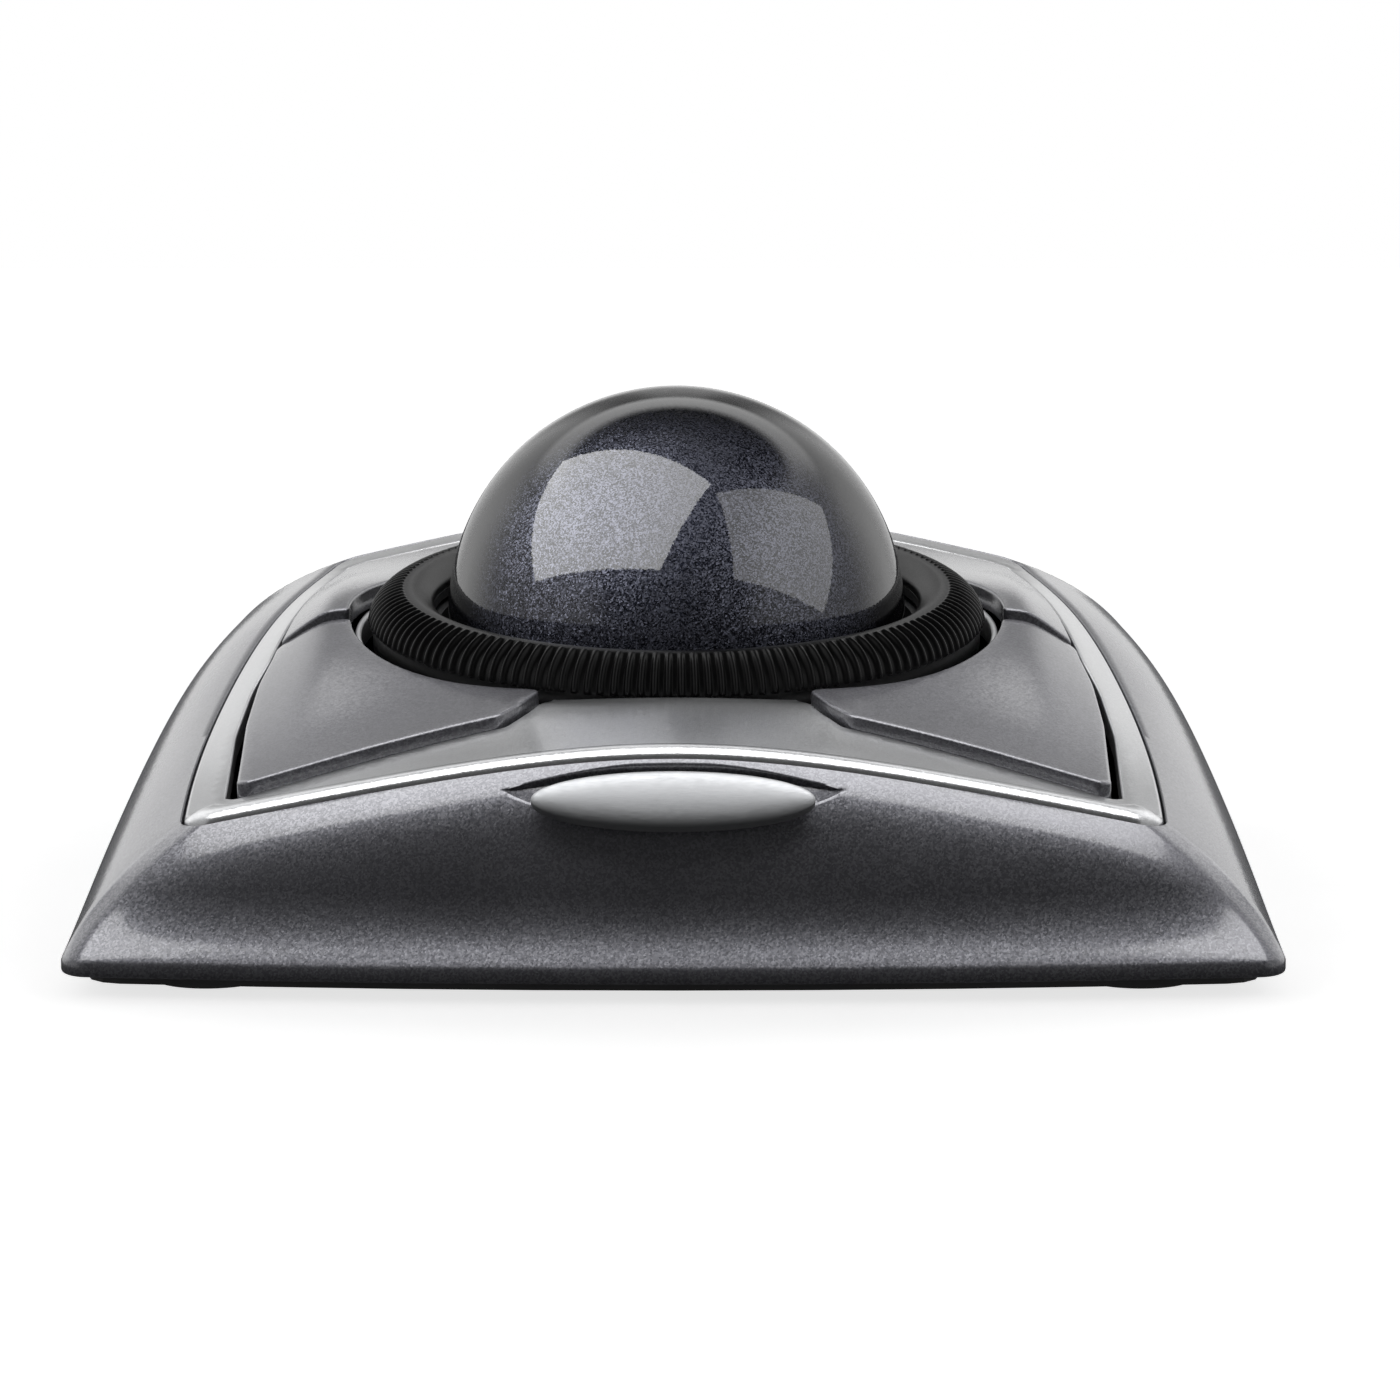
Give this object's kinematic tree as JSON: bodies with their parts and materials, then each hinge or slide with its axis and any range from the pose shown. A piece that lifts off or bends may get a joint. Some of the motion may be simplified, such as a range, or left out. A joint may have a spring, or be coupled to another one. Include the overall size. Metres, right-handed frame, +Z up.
{
  "type": "trackball mouse",
  "caption": "Desktop trackball mouse with a large ball in a ribbed scroll ring, big sloping push buttons, a painted case with a silver trim frame and a wired plug.",
  "frame": {"origin": "on the desk, straight under the centre of the ball, on the face of the centre foot", "axes": "+X to the user's right, +Y to the rear where the cable leaves, +Z up"},
  "size_m": [0.1334, 0.1764, 0.061],
  "materials": {
    "base_plastic": "fine texture",
    "case_paint": "metallic flake paint under clear coat",
    "trim_silver": "satin silver paint",
    "badge_metal": "satin",
    "foot_rubber": "matte",
    "label_foil": "matte",
    "steel": "bright",
    "ceramic": "smooth",
    "ball_resin": "fine sparkle under clear coat",
    "ring_rubber": "matte",
    "chip_black": "matte",
    "circuit_board": "solder mask",
    "lens_clear": "polished",
    "light_red": "polished",
    "cable_rubber": "satin"
  },
  "bodies": {
    "case": {"bottom_case": "base_plastic", "upper_case": "case_paint", "trim_frame": "trim_silver", "badge": "badge_metal", "rubber_feet": "foot_rubber", "underside_label": "label_foil", "case_screws": "steel", "ball_cup": "base_plastic", "support_balls": "ceramic", "cup_screws": "steel", "ring_sensor": "chip_black", "ring_sensor_board": "circuit_board", "button_chassis": "base_plastic", "chassis_screws": "steel", "button_pins": "steel", "left_switch_board": "circuit_board", "right_switch_board": "circuit_board", "switch_bodies": "chip_black", "sensor_board": "circuit_board", "optical_sensor": "chip_black", "sensor_lens": "lens_clear", "sensor_light": "light_red", "main_board": "circuit_board", "controller_chip": "chip_black", "board_connectors": "ceramic", "board_components": "steel", "board_screws": "steel", "strain_relief": "cable_rubber", "usb_cable": "cable_rubber", "usb_plug_grip": "cable_rubber", "usb_plug_shell": "steel", "usb_plug_tongue": "ceramic"},
    "trackball": {"trackball": "ball_resin"},
    "scroll_ring": {"ring_carrier": "base_plastic", "encoder_ring": "steel", "ring_grip": "ring_rubber"},
    "front_left_button": {"front_left_button": "case_paint"},
    "front_left_plunger": {"front_left_plunger": "ceramic"},
    "front_right_button": {"front_right_button": "case_paint"},
    "front_right_plunger": {"front_right_plunger": "ceramic"},
    "rear_left_button": {"rear_left_button": "case_paint"},
    "rear_left_plunger": {"rear_left_plunger": "ceramic"},
    "rear_right_button": {"rear_right_button": "case_paint"},
    "rear_right_plunger": {"rear_right_plunger": "ceramic"}
  },
  "joints": [
    {"name": "ball_roll", "type": "hinge", "parent": "case", "child": "trackball", "pos_m": [0, 0, 0.0335], "axis": [1, 0, 0], "continuous": true},
    {"name": "ring_scroll", "type": "hinge", "parent": "case", "child": "scroll_ring", "pos_m": [0, 0, 0.0335], "axis": [0, -0.1444, 0.9895], "continuous": true},
    {"name": "front_left_press", "type": "hinge", "parent": "case", "child": "front_left_button", "pos_m": [0, -0.00265, 0.02533], "axis": [1, 0, 0], "range_deg": [0, 1.2]},
    {"name": "front_left_plunger_slide", "type": "slide", "parent": "case", "child": "front_left_plunger", "axis": [0, 0.1444, -0.9895], "range_m": [0, 0.00085]},
    {"name": "front_right_press", "type": "hinge", "parent": "case", "child": "front_right_button", "pos_m": [0, -0.00265, 0.02533], "axis": [1, 0, 0], "range_deg": [0, 1.2]},
    {"name": "front_right_plunger_slide", "type": "slide", "parent": "case", "child": "front_right_plunger", "axis": [0, 0.1444, -0.9895], "range_m": [0, 0.00085]},
    {"name": "rear_left_press", "type": "hinge", "parent": "case", "child": "rear_left_button", "pos_m": [0, 0.04725, 0.0317], "axis": [1, 0, 0], "range_deg": [0, 1.2]},
    {"name": "rear_left_plunger_slide", "type": "slide", "parent": "case", "child": "rear_left_plunger", "axis": [0, 0.1444, -0.9895], "range_m": [0, 0.0007]},
    {"name": "rear_right_press", "type": "hinge", "parent": "case", "child": "rear_right_button", "pos_m": [0, 0.04725, 0.0317], "axis": [1, 0, 0], "range_deg": [0, 1.2]},
    {"name": "rear_right_plunger_slide", "type": "slide", "parent": "case", "child": "rear_right_plunger", "axis": [0, 0.1444, -0.9895], "range_m": [0, 0.0007]}
  ],
  "couplings": [
    {"joint": "front_left_plunger_slide", "follows": "front_left_press", "m_per_rad": 0.0382},
    {"joint": "front_right_plunger_slide", "follows": "front_right_press", "m_per_rad": 0.0382},
    {"joint": "rear_left_plunger_slide", "follows": "rear_left_press", "m_per_rad": 0.0325},
    {"joint": "rear_right_plunger_slide", "follows": "rear_right_press", "m_per_rad": 0.0325}
  ]
}
